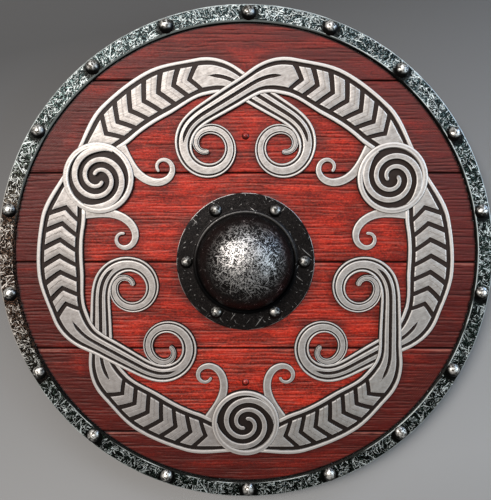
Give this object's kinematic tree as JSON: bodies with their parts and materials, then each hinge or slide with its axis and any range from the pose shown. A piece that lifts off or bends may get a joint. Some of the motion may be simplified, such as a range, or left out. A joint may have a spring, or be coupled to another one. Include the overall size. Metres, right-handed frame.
{
  "type": "wooden round shield",
  "caption": "Round boarded wooden shield with a riveted metal rim, a domed boss over the hand hole, a grip bar behind and carved silvered relief on its red face.",
  "frame": {"origin": "centre of the shield, on the surface that it lies on, under the grip bar", "axes": "+Z out of the front face through the boss, +Y to the top of the shield, +X to the right of someone who looks at the front"},
  "size_m": [0.61, 0.61, 0.086],
  "materials": {
    "red_boards": "planked softwood under a dark red stain, grain open, bare at the back",
    "ornament": "carved wood under brushed silver paint, black in the recesses",
    "rim_iron": "hammered and blackened sheet iron, rubbed bright on its high spots",
    "boss_iron": "beaten and blackened iron, scratched bright on the crown",
    "rivet_steel": "domed rivets, bright on top and black round the edge",
    "grip_wood": "oiled hardwood, smooth in the hand",
    "painted_nail": "nail head under the boards' red stain, worn at its edge"
  },
  "bodies": {
    "root": {"board_1": "red_boards", "board_2": "red_boards", "board_3": "red_boards", "board_4": "red_boards", "board_5": "red_boards", "board_6": "red_boards", "rim": "rim_iron", "boss": "boss_iron", "grip": "grip_wood", "ornament": "ornament", "rim_rivet_01": "rivet_steel", "rim_rivet_02": "rivet_steel", "rim_rivet_03": "rivet_steel", "rim_rivet_04": "rivet_steel", "rim_rivet_05": "rivet_steel", "rim_rivet_06": "rivet_steel", "rim_rivet_07": "rivet_steel", "rim_rivet_08": "rivet_steel", "rim_rivet_09": "rivet_steel", "rim_rivet_10": "rivet_steel", "rim_rivet_11": "rivet_steel", "rim_rivet_12": "rivet_steel", "rim_rivet_13": "rivet_steel", "rim_rivet_14": "rivet_steel", "rim_rivet_15": "rivet_steel", "rim_rivet_16": "rivet_steel", "rim_rivet_17": "rivet_steel", "rim_rivet_18": "rivet_steel", "boss_rivet_1": "boss_iron", "boss_rivet_2": "boss_iron", "boss_rivet_3": "boss_iron", "boss_rivet_4": "boss_iron", "boss_rivet_5": "boss_iron", "boss_rivet_6": "boss_iron", "grip_rivet_top": "painted_nail", "grip_rivet_bottom": "painted_nail"}
  },
  "joints": []
}
